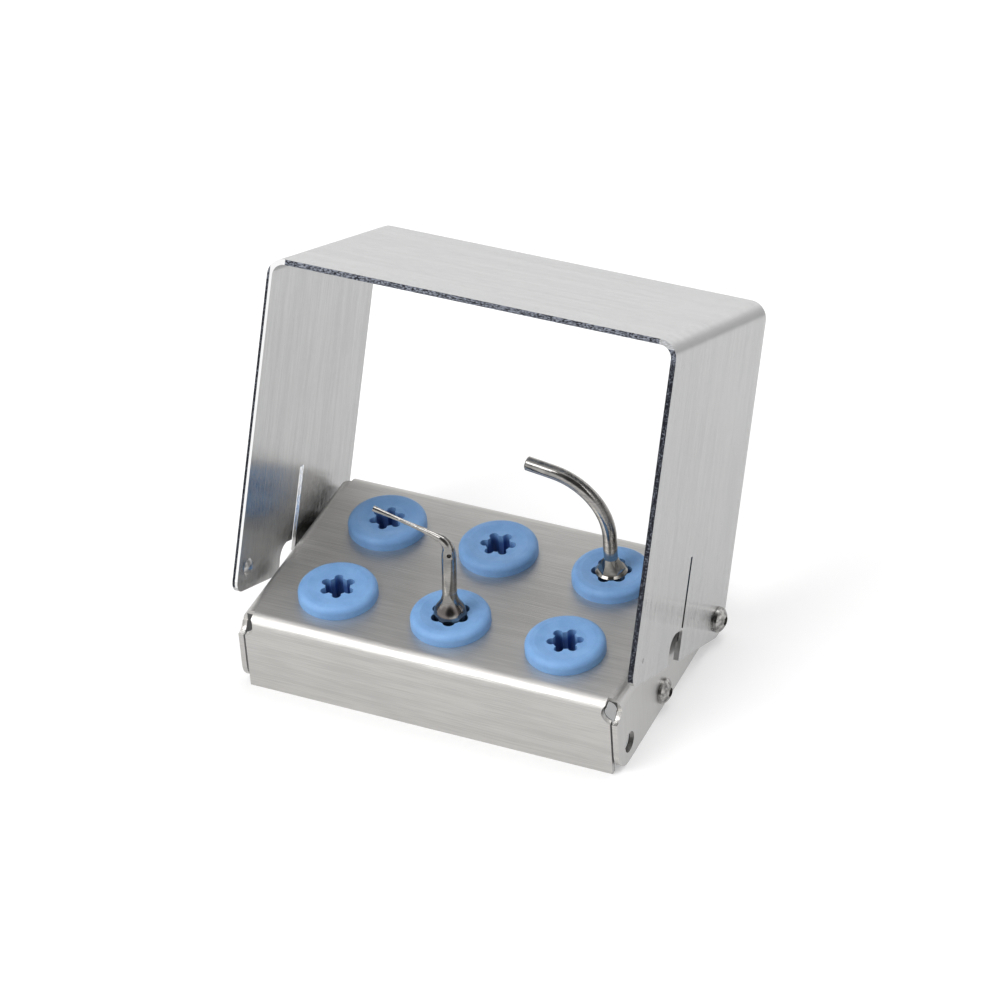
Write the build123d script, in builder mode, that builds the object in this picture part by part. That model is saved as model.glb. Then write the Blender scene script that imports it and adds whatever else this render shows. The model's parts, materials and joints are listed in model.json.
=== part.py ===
"""Instrument tip stand: a folded sheet tray with six soft grommets, two metal tips and a hinged arch cover.

Millimetres, +Z up, +X to the right. The origin is under the middle of the stand's box, on the table,
with the cover leaning back by its resting angle.
"""

import os
from math import cos, radians, sin, tan

from build123d import *

# Tray: one sheet, folded down on all four sides
tray_width = 60.0
tray_depth = 37.0
tray_height = 12.6
sheet = 0.8
tray_bend_radius = 2.0
relief_radius = 1.8
relief_from_side = 0.6
relief_below_top = 1.5
flange_end_gap = 0.3
flange_corner_radius = 3.5

# Grommets: two rows of three, with grommet_rows_y from the tray's front face to the middle of the rows
grommet_pitch_x = 18.1
grommet_pitch_y = 17.1
grommet_rows_y = 18.2
grommet_radius = 5.9
grommet_rise = 1.85
grommet_edge_radius = 0.9
grommet_rim_radius = 4.4
grommet_dish = 0.25
grommet_dish_radius = 3.1
grommet_neck_radius = 3.95
grommet_hole_clearance = 0.05
grommet_lip_radius = 4.7
grommet_lip_height = 1.2
grommet_tail_radius = 4.2
grommet_tail_length = 3.5
rib_count = 6
rib_tip_radius = 1.85
lobe_reach = 2.7
lobe_radius = 0.68
held_lobe_reach = 3.0
held_lobe_radius = 0.95

# Cover arch: a second sheet, folded into a U and hinged near the tray's back edge
cover_depth = 36.7
cover_height = 50.4
cover_bend_radius = 2.6
cover_lean = 25.3
pivot_to_back_edge = 3.1
pivot_to_bottom_edge = 3.0
cover_front_corner_radius = 2.0

# Hinge line, catch and detent, measured from the tray's front face and the table
pivot_y = 33.65
pivot_z = 3.4
catch_y = 16.3
catch_z = 3.0
detent_y = 4.0
detent_z = 3.2
detent_hole_radius = 1.6
dimple_radius = 0.4
dimple_clearance = 0.05
dimple_lead = 0.75
dimple_rise = 0.7
slit_width = 0.65
slit_length = 11.0
slit_bevel = 0.35
notch_clearance = 0.2
notch_rear_clearance = 0.4
notch_lip = 0.1

# Screws, washers and nuts
screw_radius = 1.0
screw_hole_clearance = 0.05
thread_clearance = 0.03
head_radius = 1.95
head_height = 1.4
head_rim = 0.5
socket_across_flats = 1.3
socket_depth = 0.6
washer_radius = 2.3
washer_thickness = 0.75
side_play = 0.05
nut_across_flats = 4.0
nut_thickness = 1.6
screw_end = 0.5

# Tips, measured from the top of their grommets
stem_radius = 2.4
stem_length = 5.7
stem_clearance = 0.05
thread_bore_radius = 1.2
thread_bore_length = 4.5

# Bent tip, measured along its leaning shank from the middle of the ball at its foot
bent_ball_drop = 0.15
bent_lean = 2.8
bent_brow_angle = 36
bent_shank_radius = 1.08
bent_shank_length = 10.7
bent_elbow_height = 13.1
bent_elbow_radius = 1.8
bent_knee_reach = 3.75
bent_knee_height = 14.15
bent_knee_radius = 12.0
bent_reach = 11.75
bent_height = 15.65
bent_arm_radius = 0.63
bent_end_radius = 0.45
spray_hole_radius = 0.33
spray_hole_height = 11.35
spray_hole_turn = 26

# Curved tip, measured from the top of its grommet
curved_collar_height = 0.15
curved_collar_edge = 0.3
curved_hexagon_radius = 2.1
curved_hexagon_turn = 16
curved_neck_height = 2.15
curved_tube_radius = 1.05
curved_bore_radius = 0.45
curved_end_chamfer = 0.15
curved_straight = 5.9
curved_bend_radius = 9.8
curved_bend_angle = 82
curved_end_length = 4.2

# Places that follow from the sizes above
top_z = tray_height
side_x = tray_width / 2
leg_inner_x = side_x + washer_thickness + side_play
leg_outer_x = leg_inner_x + sheet
pivot_to_top = cover_height - pivot_to_bottom_edge
pivot_to_front_edge = cover_depth - pivot_to_back_edge
overall_depth = (
    pivot_y + pivot_to_back_edge * cos(radians(cover_lean)) + pivot_to_top * sin(radians(cover_lean))
)
front = -overall_depth / 2
back = front + tray_depth
middle = front + tray_depth / 2
rows_middle = front + grommet_rows_y
flange_length = tray_height - tray_bend_radius
front_flange_width = tray_width - 2 * (sheet + flange_end_gap)
plate_hole_radius = grommet_neck_radius + grommet_hole_clearance
screw_hole_radius = screw_radius + screw_hole_clearance
grommet_top_z = top_z + grommet_rise
grommet_height = grommet_rise + sheet + grommet_tail_length

# The cover's own frame sits on the hinge line and leans back with it: Y runs to its back edge, Z to its top
cover_frame = Plane(
    (0, front + pivot_y, pivot_z),
    x_dir=(1, 0, 0),
    z_dir=(0, sin(radians(cover_lean)), cos(radians(cover_lean))),
)
leg_plane = Plane(cover_frame.origin, x_dir=cover_frame.y_dir, z_dir=(1, 0, 0))

os.makedirs("parts", exist_ok=True)


def save(part, name):
    part.label = name
    export_step(part, f"parts/{name}.step")


def folded_section(width, height, radius, leg):
    """Section of a sheet whose two ends fold down by leg, with its top at height."""
    with BuildSketch() as section:
        with Locations((0, height)):
            Rectangle(width, leg, align=(Align.CENTER, Align.MAX))
        fillet(section.vertices().group_by(Axis.Y)[-1], radius)
        with BuildSketch(mode=Mode.SUBTRACT) as hollow:
            with Locations((0, height - sheet)):
                Rectangle(width - 2 * sheet, leg, align=(Align.CENTER, Align.MAX))
            fillet(hollow.vertices().group_by(Axis.Y)[-1], radius - sheet)
    return section.sketch


# --- Tray -----------------------------------------------------------------------------------------

side_fold = folded_section(tray_width, tray_height, tray_bend_radius, tray_bend_radius)
front_fold = folded_section(tray_depth, tray_height, tray_bend_radius, tray_bend_radius)

with BuildPart() as base_tray:
    with BuildSketch(Plane.XZ.offset(-middle)):
        add(side_fold)
    extrude(amount=tray_depth / 2 - tray_bend_radius, both=True)
    with BuildSketch(Plane((0, middle, 0), x_dir=(0, 1, 0), z_dir=(1, 0, 0))):
        add(front_fold)
    extrude(amount=side_x - tray_bend_radius, both=True)
    # Front and back flanges
    for face_y in (front, back - sheet):
        with BuildSketch(Plane.XZ.offset(-face_y)):
            Rectangle(front_flange_width, flange_length, align=(Align.CENTER, Align.MIN))
        extrude(amount=-sheet)
    # Side flanges, with round lower corners
    for face_x in (-side_x, side_x - sheet):
        with BuildSketch(Plane((face_x, middle, 0), x_dir=(0, 1, 0), z_dir=(1, 0, 0))) as flange:
            Rectangle(tray_depth, flange_length, align=(Align.CENTER, Align.MIN))
            fillet(flange.vertices().group_by(Axis.Y)[0], flange_corner_radius)
        extrude(amount=sheet)
    # Round relief where two folds would meet
    for corner_x in (-side_x + relief_from_side, side_x - relief_from_side):
        for corner_y in (front, back):
            with Locations((corner_x, corner_y, top_z - relief_below_top)):
                Sphere(relief_radius, mode=Mode.SUBTRACT)
    # Grommet holes
    with Locations((0, rows_middle, top_z)):
        with GridLocations(grommet_pitch_x, grommet_pitch_y, 3, 2):
            Hole(plate_hole_radius, depth=2 * sheet)
    # Detent, catch and hinge holes through both side flanges
    with BuildSketch(Plane((0, front, 0), x_dir=(0, 1, 0), z_dir=(1, 0, 0))):
        with Locations((detent_y, detent_z)):
            Circle(detent_hole_radius)
        with Locations((catch_y, catch_z), (pivot_y, pivot_z)):
            Circle(screw_hole_radius)
    extrude(amount=side_x + sheet, both=True, mode=Mode.SUBTRACT)

save(base_tray.part, "base_tray")

# --- Cover arch -----------------------------------------------------------------------------------

cover_section = folded_section(2 * leg_outer_x, pivot_to_top, cover_bend_radius, cover_height)
catch_u = catch_y - pivot_y
catch_v = catch_z - pivot_z
notch_radius = head_radius + notch_clearance
notch_rear_u = catch_u + head_radius + notch_rear_clearance
notch_drop = pivot_to_bottom_edge + catch_v + sheet
detent_u = detent_y - pivot_y
detent_v = detent_z - pivot_z
dimple_height = leg_outer_x - side_x - dimple_clearance

with BuildSketch() as mouth:
    with Locations((notch_rear_u + slit_bevel, catch_v)):
        Rectangle(
            slit_width + 2 * slit_bevel,
            notch_radius + slit_length + slit_bevel,
            align=(Align.MAX, Align.MIN),
        )
slit_mouth = mouth.sketch

with BuildPart() as cover_arch:
    arch_plane = Plane(cover_frame.origin, x_dir=(1, 0, 0), z_dir=-cover_frame.y_dir)
    with BuildSketch(arch_plane.offset(pivot_to_front_edge)):
        add(cover_section)
    extrude(amount=-cover_depth)
    # Round the legs' lower corners
    with BuildSketch(leg_plane) as outline:
        with Locations((pivot_to_back_edge, pivot_to_top)):
            Rectangle(cover_depth, cover_height, align=(Align.MAX, Align.MAX))
        fillet(outline.vertices().group_by(Axis.Y)[0].sort_by(Axis.X)[-1], pivot_to_bottom_edge)
        fillet(outline.vertices().group_by(Axis.Y)[0].sort_by(Axis.X)[0], cover_front_corner_radius)
    extrude(amount=leg_outer_x, both=True, mode=Mode.INTERSECT)
    # Catch notch with its straight rear side, the slit above it, and the hinge hole
    with BuildSketch(leg_plane):
        with Locations((catch_u, catch_v)):
            Circle(notch_radius)
            Rectangle(notch_rear_u - catch_u, notch_radius, align=(Align.MIN, Align.MIN))
            Rectangle(notch_rear_u - catch_u, notch_drop, align=(Align.MIN, Align.MAX))
            Rectangle(notch_radius - notch_lip, notch_drop, align=(Align.MAX, Align.MAX))
        with Locations((notch_rear_u, catch_v)):
            Rectangle(slit_width, notch_radius + slit_length, align=(Align.MAX, Align.MIN))
        Circle(screw_hole_radius)
    extrude(amount=leg_outer_x, both=True, mode=Mode.SUBTRACT)
    # The slit's edges are bevelled on the inside of each leg
    with BuildSketch(leg_plane.offset(-leg_inner_x)):
        add(slit_mouth)
    extrude(amount=-slit_bevel, taper=45, mode=Mode.SUBTRACT)
    with BuildSketch(leg_plane.offset(leg_inner_x)):
        add(slit_mouth)
    extrude(amount=slit_bevel, taper=45, mode=Mode.SUBTRACT)
    # A dimple pressed into each leg bears on the upper front edge of the flange's detent hole
    for side in (-1, 1):
        centre = leg_plane.from_local_coords(
            (detent_u - dimple_lead, detent_v + dimple_rise, side * leg_outer_x)
        )
        dimple_plane = Plane(centre, x_dir=(-side, 0, 0), z_dir=leg_plane.y_dir)
        with BuildSketch(dimple_plane):
            Circle(dimple_height)
            Rectangle(dimple_height, dimple_height, align=(Align.MIN, Align.MIN), mode=Mode.INTERSECT)
        revolve(axis=Axis(centre, (1, 0, 0)))
        with BuildSketch(dimple_plane):
            Polygon((0, 0), (dimple_radius, 0), (0, dimple_radius), align=None)
        revolve(axis=Axis(centre, (1, 0, 0)), mode=Mode.SUBTRACT)

save(cover_arch.part, "cover_arch")

# --- Grommets -------------------------------------------------------------------------------------


def make_grommet(name, x, y, turn, tip_radius, reach, lobe):
    """One grommet: its first rib points along turn, all six end on tip_radius, and a lobe follows each."""
    with BuildPart() as grommet:
        with BuildSketch(Plane((x, y, top_z), x_dir=(1, 0, 0), z_dir=(0, -1, 0))) as wall:
            Polygon(
                (tip_radius, grommet_rise - grommet_dish),
                (grommet_dish_radius, grommet_rise - grommet_dish),
                (grommet_rim_radius, grommet_rise),
                (grommet_radius, grommet_rise),
                (grommet_radius, 0),
                (grommet_neck_radius, 0),
                (grommet_neck_radius, -sheet),
                (grommet_lip_radius, -sheet),
                (grommet_lip_radius, -sheet - grommet_lip_height),
                (grommet_tail_radius, -sheet - grommet_tail_length),
                (tip_radius, -sheet - grommet_tail_length),
                align=None,
            )
            fillet(wall.vertices().group_by(Axis.X)[-1].sort_by(Axis.Y)[-1], grommet_edge_radius)
        revolve(axis=Axis((x, y, 0), (0, 0, 1)))
        with BuildSketch(Plane((x, y, grommet_top_z - grommet_height))):
            with PolarLocations(reach - lobe, rib_count, start_angle=turn + 180 / rib_count):
                Circle(lobe)
        extrude(amount=grommet_height, mode=Mode.SUBTRACT)
    save(grommet.part, name)


held_tip_radius = stem_radius + stem_clearance
columns = {"left": -grommet_pitch_x, "middle": 0, "right": grommet_pitch_x}
rows = {"front": rows_middle - grommet_pitch_y / 2, "back": rows_middle + grommet_pitch_y / 2}
rib_turns = {
    "front_left": 20,
    "front_middle": 18,
    "front_right": 55,
    "back_left": 5,
    "back_middle": 42,
    "back_right": 52,
}
holding = ("front_middle", "back_right")

for place, turn in rib_turns.items():
    row, column = place.split("_")
    bore = (held_tip_radius, held_lobe_reach, held_lobe_radius)
    if place not in holding:
        bore = (rib_tip_radius, lobe_reach, lobe_radius)
    make_grommet(f"grommet_{place}", columns[column], rows[row], turn, *bore)

# --- Screws, washers and nuts ---------------------------------------------------------------------

head_dome = head_height - head_rim
head_dome_radius = (head_radius**2 + head_dome**2) / (2 * head_dome)


def make_screw(name, seat, length):
    """Button-head socket screw with its head on seat and its shank running back from it."""
    with BuildPart() as screw:
        with BuildSketch(Plane(seat.origin, x_dir=seat.x_dir, z_dir=-seat.y_dir)):
            with BuildLine():
                Polyline(
                    (0, head_height),
                    (0, -length),
                    (screw_radius, -length),
                    (screw_radius, 0),
                    (head_radius, 0),
                    (head_radius, head_rim),
                )
                RadiusArc((head_radius, head_rim), (0, head_height), -head_dome_radius)
            make_face()
        revolve(axis=Axis(seat.origin, seat.z_dir))
        with BuildSketch(seat.offset(head_height)):
            RegularPolygon(socket_across_flats / 2, 6, major_radius=False)
        extrude(amount=-socket_depth, mode=Mode.SUBTRACT)
    save(screw.part, name)


def make_nut(name, seat):
    """Hexagon nut that lies against the inside of a side flange."""
    with BuildPart() as nut:
        with BuildSketch(seat):
            RegularPolygon(nut_across_flats / 2, 6, major_radius=False)
            Circle(screw_radius + thread_clearance, mode=Mode.SUBTRACT)
        extrude(amount=-nut_thickness)
    save(nut.part, name)


def make_washer(name, seat):
    with BuildPart() as washer:
        with BuildSketch(seat):
            Circle(washer_radius)
            Circle(screw_hole_radius, mode=Mode.SUBTRACT)
        extrude(amount=washer_thickness)
    save(washer.part, name)


inner_stack = sheet + nut_thickness + screw_end
for side_name, side in (("left", -1), ("right", 1)):
    hinge_seat = Plane((side * side_x, front + pivot_y, pivot_z), x_dir=(0, 1, 0), z_dir=(side, 0, 0))
    catch_seat = Plane((side * side_x, front + catch_y, catch_z), x_dir=(0, 1, 0), z_dir=(side, 0, 0))
    hinge_stack = leg_outer_x + side_play - side_x
    make_screw(f"pivot_screw_{side_name}", hinge_seat.offset(hinge_stack), hinge_stack + inner_stack)
    make_washer(f"pivot_washer_{side_name}", hinge_seat)
    make_nut(f"pivot_nut_{side_name}", hinge_seat.offset(-sheet))
    make_screw(f"catch_screw_{side_name}", catch_seat, inner_stack)
    make_nut(f"catch_nut_{side_name}", catch_seat.offset(-sheet))

# --- Tips -----------------------------------------------------------------------------------------

bent_x, bent_y = columns["middle"], rows["front"]
ball_z = grommet_top_z - bent_ball_drop
lean, brow, spray_turn = radians(bent_lean), radians(bent_brow_angle), radians(spray_hole_turn)
bent_axis = Vector(sin(lean), 0, cos(lean))
bent_plane = Plane((bent_x, bent_y, ball_z), x_dir=(cos(lean), 0, -sin(lean)), z_dir=(0, -1, 0))
brow_point = (stem_radius * cos(brow), stem_radius * sin(brow))
# The neck is one hollow curve from the ball's brow that runs smoothly into the shank
bent_neck_height = brow_point[1] + (brow_point[0] - bent_shank_radius) / tan(brow / 2)

with BuildPart() as bent_tip:
    with BuildSketch(Plane((bent_x, bent_y, grommet_top_z - stem_length))):
        Circle(stem_radius)
    extrude(amount=stem_length - bent_ball_drop)
    with BuildSketch(bent_plane):
        with BuildLine():
            CenterArc((0, 0), stem_radius, -90, 90 + bent_brow_angle)
            TangentArc(brow_point, (bent_shank_radius, bent_neck_height), tangent=(-sin(brow), cos(brow)))
            Polyline(
                (bent_shank_radius, bent_neck_height),
                (bent_shank_radius, bent_shank_length),
                (0, bent_shank_length),
                (0, -stem_radius),
            )
        make_face()
    revolve(axis=Axis(bent_plane.origin, bent_axis))
    with BuildLine(bent_plane) as arm:
        FilletPolyline(
            (0, bent_shank_length),
            (0, bent_elbow_height),
            (-bent_knee_reach, bent_knee_height),
            (-bent_reach, bent_height),
            radius=(bent_elbow_radius, bent_knee_radius),
        )
    elbow = arm.edges().filter_by(GeomType.CIRCLE)[0]
    for curve, along, radius in (
        (arm.line, 0, bent_shank_radius),
        (elbow, 1, bent_arm_radius),
        (arm.line, 1, bent_end_radius),
    ):
        with BuildSketch(Plane(curve @ along, z_dir=curve % along)):
            Circle(radius)
    sweep(path=arm.line, multisection=True)
    # Spray hole into the shank, and the blind bore where the tip screws on to its handpiece
    spray_centre = bent_plane.origin + bent_axis * spray_hole_height
    with BuildSketch(Plane(spray_centre, z_dir=(sin(spray_turn), -cos(spray_turn), 0))):
        Circle(spray_hole_radius)
    extrude(amount=2 * bent_shank_radius, mode=Mode.SUBTRACT)
    with BuildSketch(Plane((bent_x, bent_y, grommet_top_z - stem_length))):
        Circle(thread_bore_radius)
    extrude(amount=thread_bore_length, mode=Mode.SUBTRACT)

save(bent_tip.part, "bent_tip")

curved_x, curved_y = columns["right"], rows["back"]
curved_plane = Plane((curved_x, curved_y, grommet_top_z), x_dir=(1, 0, 0), z_dir=(0, -1, 0))
bend = radians(curved_bend_angle)
bend_x = curved_bend_radius * (cos(bend) - 1)
bend_z = curved_straight + curved_bend_radius * sin(bend)

with BuildPart() as curved_tip:
    with BuildSketch(Plane((curved_x, curved_y, grommet_top_z - stem_length))):
        Circle(stem_radius)
    extrude(amount=stem_length + curved_collar_height)
    chamfer(curved_tip.edges().filter_by(GeomType.CIRCLE).sort_by(Axis.Z)[-1], curved_collar_edge)
    # Six-sided neck that runs into the round tube
    with BuildSketch(Plane((curved_x, curved_y, grommet_top_z + curved_collar_height))):
        RegularPolygon(curved_hexagon_radius, 6, rotation=curved_hexagon_turn)
    with BuildSketch(Plane((curved_x, curved_y, grommet_top_z + curved_neck_height))):
        Circle(curved_tube_radius)
    loft()
    with BuildLine(curved_plane) as tube:
        Line((0, curved_neck_height), (0, curved_straight))
        CenterArc((-curved_bend_radius, curved_straight), curved_bend_radius, 0, curved_bend_angle)
        Line(
            (bend_x, bend_z),
            (bend_x - curved_end_length * sin(bend), bend_z + curved_end_length * cos(bend)),
        )
    with BuildSketch(Plane(tube.line @ 0, z_dir=tube.line % 0)):
        Circle(curved_tube_radius)
    sweep(path=tube.line)
    chamfer(curved_tip.edges().filter_by(GeomType.CIRCLE).sort_by(Axis.X)[0], curved_end_chamfer)
    with BuildSketch(Plane(tube.line @ 1, z_dir=tube.line % 1)):
        Circle(curved_bore_radius)
    extrude(amount=-2 * curved_tube_radius, mode=Mode.SUBTRACT)
    with BuildSketch(Plane((curved_x, curved_y, grommet_top_z - stem_length))):
        Circle(thread_bore_radius)
    extrude(amount=thread_bore_length, mode=Mode.SUBTRACT)

save(curved_tip.part, "curved_tip")
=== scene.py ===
"""Looks of the instrument tip stand: brushed sheet, polished tips, soft grommets, floor, lamps and camera."""

import json
import math

import bmesh
import bpy
from mathutils import Matrix, Vector


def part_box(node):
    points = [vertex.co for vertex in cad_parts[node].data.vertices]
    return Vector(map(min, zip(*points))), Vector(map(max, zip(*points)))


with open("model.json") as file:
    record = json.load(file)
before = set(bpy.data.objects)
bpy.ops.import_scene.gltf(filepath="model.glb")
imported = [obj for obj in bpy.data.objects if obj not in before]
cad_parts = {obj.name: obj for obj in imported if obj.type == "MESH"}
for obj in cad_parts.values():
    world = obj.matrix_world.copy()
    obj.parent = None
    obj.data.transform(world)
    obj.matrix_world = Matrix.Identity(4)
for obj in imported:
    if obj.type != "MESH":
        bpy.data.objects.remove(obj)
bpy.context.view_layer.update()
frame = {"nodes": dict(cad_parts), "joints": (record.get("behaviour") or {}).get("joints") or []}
nodes = frame["nodes"]

MM = 0.001
hinge = next(joint for joint in frame["joints"] if joint["name"] == "cover_hinge")
hinge_point = Vector(hinge["pos_m"])
cover_lean = math.radians(-hinge["range_deg"][0])
tray_low, tray_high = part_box("base_tray")
grommet_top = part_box("grommet_front_left")[1].z

# --- Shader arithmetic ----------------------------------------------------------------------------


class Wire:
    """A value in a node tree, which takes part in arithmetic."""

    def __init__(self, web, socket):
        self.web = web
        self.socket = socket

    def _maths(self, operation, first, second):
        return self.web.node("ShaderNodeMath", {"operation": operation}, {0: first, 1: second})

    def __add__(self, other):
        return self._maths("ADD", self, other)

    def __radd__(self, other):
        return self._maths("ADD", other, self)

    def __sub__(self, other):
        return self._maths("SUBTRACT", self, other)

    def __rsub__(self, other):
        return self._maths("SUBTRACT", other, self)

    def __mul__(self, other):
        return self._maths("MULTIPLY", self, other)

    def __rmul__(self, other):
        return self._maths("MULTIPLY", other, self)

    def __abs__(self):
        return self._maths("ABSOLUTE", self, 0.0)

    def __gt__(self, other):
        return self._maths("GREATER_THAN", self, other)

    def __lt__(self, other):
        return self._maths("LESS_THAN", self, other)

    def part(self, axis):
        """One of X, Y and Z of a vector."""
        return self.web.node("ShaderNodeSeparateXYZ", {}, {"Vector": self}, axis)


class Web:
    """A node tree, built one node at a time."""

    def __init__(self, tree):
        self.tree = tree

    def node(self, kind, settings=None, inputs=None, output=0):
        made = self.tree.nodes.new(kind)
        for key, value in (settings or {}).items():
            if key == "stops":
                for index, (position, level) in enumerate(value):
                    elements = made.color_ramp.elements
                    stop = elements[index] if index < len(elements) else elements.new(position)
                    stop.position = position
                    stop.color = (level, level, level, 1)
            else:
                setattr(made, key, value)
        for key, value in (inputs or {}).items():
            if isinstance(value, Wire):
                self.tree.links.new(value.socket, made.inputs[key])
            else:
                made.inputs[key].default_value = value
        return Wire(self, made.outputs[output])

    def stretched(self, place, size):
        """The place measured in grains of the given size along X, Y and Z."""
        scale = tuple(1 / s for s in size)
        return self.node("ShaderNodeVectorMath", {"operation": "MULTIPLY"}, {0: place, 1: scale})

    def noise(self, place, detail=2.0, roughness=0.5):
        return self.node(
            "ShaderNodeTexNoise",
            {},
            {"Vector": place, "Scale": 1.0, "Detail": detail, "Roughness": roughness},
        )

    def ramp(self, value, low, high):
        """0 below low, 1 above high, smooth between."""
        return self.node(
            "ShaderNodeMapRange",
            {"interpolation_type": "SMOOTHSTEP"},
            {"Value": value, "From Min": low, "From Max": high},
        )

    def blend(self, share, first, second):
        """From the first colour to the second by share."""
        return self.node(
            "ShaderNodeMix", {"data_type": "RGBA"}, {"Factor": share, 6: first, 7: second}, output=2
        )


class Finish(Web):
    """A material, built around its main shader."""

    def __init__(self, name, **settings):
        self.material = bpy.data.materials.new(name)
        self.material.use_nodes = True
        super().__init__(self.material.node_tree)
        self.shader = self.tree.nodes["Principled BSDF"]
        for socket, value in settings.items():
            self.shader.inputs[socket.replace("_", " ")].default_value = value

    def feed(self, socket, value):
        self.tree.links.new(value.socket, self.shader.inputs[socket])

    def place(self):
        return self.node("ShaderNodeTexCoord", output="Object")

    def facing(self):
        return self.node("ShaderNodeTexCoord", output="Normal")

    def turned(self, vector, centre=(0, 0, 0)):
        """A place or direction on the leaning cover, as it would be with the cover upright."""
        return self.node(
            "ShaderNodeVectorRotate",
            {"rotation_type": "X_AXIS"},
            {"Vector": vector, "Center": centre, "Angle": cover_lean},
        )

    def bump(self, height, strength, distance):
        bumped = self.node(
            "ShaderNodeBump", {}, {"Height": height, "Strength": strength, "Distance": distance}
        )
        self.feed("Normal", bumped)


def grey(level, warmth=0.0):
    """A metal's colour: warmth moves it from blue to yellow."""
    return (level * (1 + warmth), level, level * (1 - 1.5 * warmth), 1.0)


def between(value, low, high):
    """1 where value lies between low and high, 0 elsewhere."""
    return (value > low) * (value < high)


def dress(material, *names):
    for name in names:
        slots = nodes[name].data.materials
        slots.clear()
        slots.append(material)


# --- Finishes -------------------------------------------------------------------------------------

STEEL_LEVEL = 0.545
TRAY_LEVEL = STEEL_LEVEL * 1.1
# Brightness of the painted highlights on the cover's cut edges and slit walls
PAINTED_HIGHLIGHT_LEVEL = 0.95
# Level of the painted shade inside the tray
INSIDE_SHADE_LEVEL = 0.13
HOLE_REACH = 4 * MM
INNER_SKIN = 0.7 * MM

# Grains of the brushing, along X, Y and Z
COVER_GRAIN = (9 * MM, 0.17 * MM, 9 * MM)
TRAY_GRAIN = (7 * MM, 0.16 * MM, 0.16 * MM)
TRAY_SIDE_GRAIN = (0.16 * MM, 0.16 * MM, 7 * MM)

# Places on the upright cover: the first three along Y from the hinge, the others in X and Z
FRONT_CUT = -33.2 * MM
BACK_CUT = 2.7 * MM
SLIT_SPAN = (-20 * MM, -4 * MM)
INSIDE_LEFT = (-31.2 * MM, -29.0 * MM)
RIGHT_BEND_X = 28.8 * MM
RIGHT_BEND_Z = 49.6 * MM
LEG_TOP = 47.5 * MM


def brushed(finish, grain_place, level, warmth, shine, depth, contrast):
    """The colour of brushed stainless sheet, with hair-fine streaks cut along its grain."""
    fine = finish.noise(grain_place, 3.0, 0.6)
    broad = finish.noise(finish.stretched(grain_place, (5.0, 9.0, 9.0)), 2.0)
    clouds = finish.noise(finish.stretched(finish.place(), (9 * MM, 9 * MM, 9 * MM)), 2.0)
    tone = finish.ramp(fine * 0.6 + broad * 0.25 + clouds * 0.15, 0.4, 0.6)
    finish.feed("Roughness", shine + (fine - 0.5) * 0.1 + (clouds - 0.5) * 0.05)
    finish.bump(fine, 1.0, depth)
    return finish.blend(tone, grey(level * (1 - contrast), warmth), grey(level * (1 + contrast), warmth))


def sheared(finish, sparse, level):
    """The torn grain of a sheared edge, pale specks on blue-black: the sparser, the fewer."""
    grain = finish.noise(finish.stretched(finish.place(), (0.3 * MM, 0.15 * MM, 0.15 * MM)), 2.0)
    tone = finish.ramp(grain, sparse, 0.66) * level
    return finish.blend(tone, (0.018, 0.019, 0.026, 1), (0.4, 0.43, 0.5, 1))


def cover_finish():
    finish = Finish("brushed_cover_sheet", Metallic=1.0)
    place = finish.turned(finish.place(), hinge_point)
    facing = finish.turned(finish.facing())
    grain = finish.stretched(place, COVER_GRAIN)
    sheet = brushed(finish, grain, STEEL_LEVEL, 0.0, 0.08, 0.05 * MM, 0.065)
    # Painted shade: the outside of each bend is darkened where it meets the leg, standing in for the dark
    # reflection it catches
    sideways = abs(facing.part(0))
    bend = finish.ramp(sideways, 0.45, 0.85) * (1 - finish.ramp(sideways, 0.9, 0.99))
    sheet = finish.blend(bend * 0.8, sheet, grey(STEEL_LEVEL * 0.5))
    # The cut front and back edges: blue-black with pale specks, with a painted highlight inside the left leg
    # and on the right bend
    behind_hinge = place.part(1) - hinge_point.y
    at_end = (behind_hinge < FRONT_CUT) + (behind_hinge > BACK_CUT)
    cut = at_end * (abs(facing.part(1)) > 0.6)
    on_leg = place.part(2) < LEG_TOP
    highlight_inside_left = between(place.part(0), *INSIDE_LEFT)
    highlight_on_right_bend = (place.part(0) > RIGHT_BEND_X) * (place.part(2) > RIGHT_BEND_Z)
    # Painted shade: on the legs the cut edges get fewer, dimmer pale specks and come out darker than along
    # the top
    torn = sheared(finish, 0.38 + on_leg * 0.13, 0.85 - on_leg * 0.4)
    edge = finish.blend(highlight_inside_left + highlight_on_right_bend * 0.45, torn, grey(PAINTED_HIGHLIGHT_LEVEL))
    # Painted highlight: the walls of the left leg's slit are made bright
    near_slit = between(behind_hinge, *SLIT_SPAN)
    slit = (abs(facing.part(1)) > 0.35) * near_slit * (place.part(0) < 0.0)
    sheet = finish.blend(slit, sheet, grey(PAINTED_HIGHLIGHT_LEVEL))
    finish.feed("Base Color", finish.blend(cut, sheet, edge))
    return finish.material


def tray_finish():
    finish = Finish("brushed_tray_sheet", Metallic=1.0)
    place = finish.place()
    on_side = finish.ramp(abs(finish.facing().part(0)), 0.6, 0.8)
    along = finish.stretched(place, TRAY_GRAIN)
    upright = finish.stretched(place, TRAY_SIDE_GRAIN)
    grain = finish.node(
        "ShaderNodeMix", {"data_type": "VECTOR"}, {"Factor": on_side, 4: along, 5: upright}, output=1
    )
    sheet = brushed(finish, grain, TRAY_LEVEL, 0.02, 0.42, 0.035 * MM, 0.075)
    # The streaks are fainter on the side flanges
    sheet = finish.blend(on_side * 0.6, sheet, grey(TRAY_LEVEL))
    # Painted shade: the inside of the folded tray is darkened
    aside = abs(place.part(0)) < tray_high.x - INNER_SKIN
    back = between(place.part(1), tray_low.y + INNER_SKIN, tray_high.y - INNER_SKIN)
    below = place.part(2) < tray_high.z - INNER_SKIN
    finish.feed("Base Color", finish.blend(aside * below * back, sheet, grey(INSIDE_SHADE_LEVEL)))
    return finish.material


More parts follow.
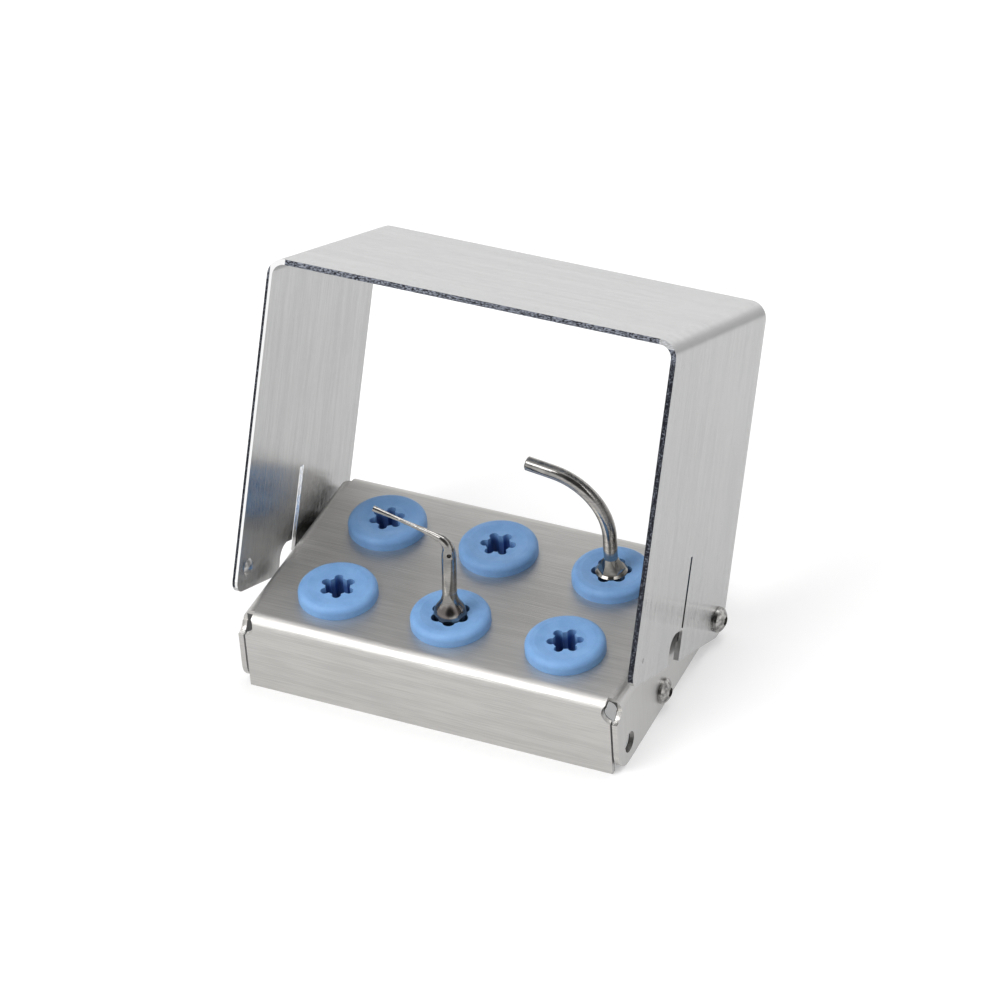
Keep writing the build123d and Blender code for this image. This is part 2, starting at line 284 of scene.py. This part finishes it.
def tip_finish(name, foot):
    """Polished steel, which is darker at the tip's foot."""
    finish = Finish(f"polished_steel_{name}", Metallic=1.0)
    turned = finish.noise(finish.stretched(finish.place(), (4 * MM, 4 * MM, 0.12 * MM)), 2.0)
    haze = finish.noise(finish.stretched(finish.place(), (1.6 * MM, 1.6 * MM, 1.6 * MM)), 2.0)
    tone = finish.ramp(turned * 0.5 + haze * 0.5, 0.3, 0.7)
    steel = finish.blend(tone, grey(0.25, 0.02), grey(0.43, 0.03))
    height = finish.place().part(2) - grommet_top
    at_foot = (1 - finish.ramp(height, 1.6 * MM, 3.6 * MM)) * finish.ramp(haze, 0.32, 0.5)
    finish.feed("Base Color", finish.blend(at_foot * 0.9, steel, foot))
    finish.feed("Roughness", 0.06 + haze * 0.1)
    finish.bump(turned, 0.15, 0.01 * MM)
    return finish.material


def fastener_finish():
    finish = Finish("turned_screw_steel", Metallic=1.0)
    haze = finish.noise(finish.stretched(finish.place(), (0.7 * MM, 0.7 * MM, 0.7 * MM)), 3.0)
    rings = finish.noise(finish.stretched(finish.place(), (0.08 * MM, 1.5 * MM, 1.5 * MM)), 2.0)
    finish.feed("Base Color", finish.blend(finish.ramp(haze, 0.3, 0.7), grey(0.15, 0.02), grey(0.5, 0.02)))
    finish.feed("Roughness", 0.12 + haze * 0.14)
    finish.bump(rings, 0.2, 0.02 * MM)
    return finish.material


def silicone_finish(name):
    """Blue silicone, with painted shade darkening it down in the grommet's hole."""
    finish = Finish(f"blue_silicone_{name}", Subsurface_Weight=0.04, Subsurface_Scale=1.0 * MM, IOR=1.41)
    low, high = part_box(name)
    place = finish.place()
    cloud = finish.noise(finish.stretched(place, (2.4 * MM, 2.4 * MM, 2.4 * MM)), 2.0)
    grain = finish.noise(finish.stretched(place, (0.25 * MM, 0.25 * MM, 0.25 * MM)), 3.0)
    tone = finish.ramp(cloud * 0.7 + grain * 0.3, 0.3, 0.7)
    skin = finish.blend(tone, (0.2, 0.395, 0.73, 1), (0.245, 0.465, 0.81, 1))
    aside = place.part(0) - (low.x + high.x) / 2
    back = place.part(1) - (low.y + high.y) / 2
    depth = high.z - place.part(2)
    # Painted shade: the walls of the hole turn dark navy from just below the top downwards
    hole_shade = (aside * aside + back * back < HOLE_REACH**2) * finish.ramp(depth, 0.4 * MM, 1.9 * MM)
    finish.feed("Base Color", finish.blend(hole_shade * 0.85, skin, (0.035, 0.1, 0.36, 1)))
    finish.feed("Roughness", 0.42 + grain * 0.14)
    finish.bump(grain, 0.12, 0.03 * MM)
    return finish.material


dress(cover_finish(), "cover_arch")
dress(tray_finish(), "base_tray")
dress(tip_finish("bent_tip", (0.14, 0.125, 0.12, 1)), "bent_tip")
dress(tip_finish("curved_tip", grey(0.26, 0.05)), "curved_tip")
for name in [name for name in nodes if name.startswith("grommet")]:
    dress(silicone_finish(name), name)
dress(fastener_finish(), *[name for name in nodes if name.split("_")[1] in ("screw", "washer", "nut")])

# --- Floor, world and lamps -----------------------------------------------------------------------

FLOOR_REACH = 0.33
DARK_END = (0.352, -0.708, 0.612)
DARK_CORE = math.radians(20)
DARK_REACH = math.radians(46)
DARK_DEPTH = 0.9


def make_floor():
    """A floor that shows white to the eye and in the metal, and keeps the stand's shadow."""
    sheet = bmesh.new()
    bmesh.ops.create_grid(sheet, x_segments=8, y_segments=8, size=FLOOR_REACH)
    mesh = bpy.data.meshes.new("floor")
    sheet.to_mesh(mesh)
    sheet.free()
    floor = bpy.data.objects.new("floor", mesh)
    bpy.context.scene.collection.objects.link(floor)
    finish = Finish("white_floor", Roughness=1.0)
    finish.shader.inputs["Specular IOR Level"].default_value = 0.0
    seen = finish.node("ShaderNodeLightPath", output="Is Camera Ray")
    mirror = finish.node("ShaderNodeLightPath", output="Is Glossy Ray")
    finish.feed("Base Color", finish.blend(mirror, grey(0.66), grey(0.33)))
    glow = seen * 0.38 + mirror * 0.5
    lift = finish.node("ShaderNodeEmission", {}, {"Color": (1, 1, 1, 1), "Strength": glow})
    both = finish.node("ShaderNodeAddShader", {}, {0: Wire(finish, finish.shader.outputs[0]), 1: lift})
    finish.tree.links.new(both.socket, finish.tree.nodes["Material Output"].inputs["Surface"])
    mesh.materials.append(finish.material)


def make_world():
    """A soft room: bright low down and overhead, dimmer between, and dark at the camera's end."""
    world = bpy.data.worlds.new("soft_room")
    world.use_nodes = True
    bpy.context.scene.world = world
    room = Web(world.node_tree)
    direction = room.node("ShaderNodeTexCoord", output="Generated")
    stops = ((0.0, 1.16), (0.1, 1.08), (0.3, 0.88), (0.62, 0.8), (0.85, 0.9), (1.0, 1.05))
    walls = room.node("ShaderNodeValToRGB", {"stops": stops}, {"Fac": direction.part(2)})
    towards = room.node(
        "ShaderNodeVectorMath", {"operation": "DOT_PRODUCT"}, {0: direction, 1: DARK_END}, output=1
    )
    level = walls * (1 - room.ramp(towards, math.cos(DARK_REACH), math.cos(DARK_CORE)) * DARK_DEPTH)
    background = room.tree.nodes["Background"]
    background.inputs["Color"].default_value = (1, 1, 1, 1)
    room.tree.links.new(level.socket, background.inputs["Strength"])


def make_lamp(name, place, size, power):
    light = bpy.data.lights.new(name, "AREA")
    light.shape = "RECTANGLE"
    light.size, light.size_y = size
    light.energy = power
    lamp = bpy.data.objects.new(name, light)
    bpy.context.scene.collection.objects.link(lamp)
    lamp.location = place
    lamp.rotation_mode = "QUATERNION"
    lamp.rotation_quaternion = (-Vector(place)).to_track_quat("-Z", "Y")


make_floor()
make_world()
make_lamp("front_softbox", (-0.26, -0.4, 0.56), (0.42, 0.42), 2.3)
make_lamp("back_softbox", (0.12, 0.24, 0.64), (0.4, 0.4), 1.2)

# --- Camera ---------------------------------------------------------------------------------------

CAMERA_AZIMUTH = math.radians(26.46)
CAMERA_HEIGHT_ANGLE = math.radians(37.753)
CAMERA_ROLL = math.radians(-4.106)
CAMERA_DISTANCE = 654.856 * MM
CAMERA_LENS = 163.7
AIM_ASIDE = 3.725 * MM
AIM_UP = -2.37 * MM


def make_camera():
    away = Vector(
        (
            math.sin(CAMERA_AZIMUTH) * math.cos(CAMERA_HEIGHT_ANGLE),
            -math.cos(CAMERA_AZIMUTH) * math.cos(CAMERA_HEIGHT_ANGLE),
            math.sin(CAMERA_HEIGHT_ANGLE),
        )
    )
    across = Vector((0, 0, 1)).cross(away).normalized()
    upward = away.cross(across)
    aim = Vector((0, tray_low.y + 20 * MM, 30 * MM)) + across * AIM_ASIDE + upward * AIM_UP
    level = Matrix((across, upward, away)).transposed()
    data = bpy.data.cameras.new("camera")
    data.lens = CAMERA_LENS
    data.sensor_width = 36.0
    data.clip_start = 10 * MM
    camera = bpy.data.objects.new("camera", data)
    bpy.context.scene.collection.objects.link(camera)
    camera.matrix_world = Matrix.Translation(aim + away * CAMERA_DISTANCE) @ (
        level @ Matrix.Rotation(CAMERA_ROLL, 3, "Z")
    ).to_4x4()
    bpy.context.scene.camera = camera


make_camera()
bpy.context.scene.view_settings.view_transform = "Standard"
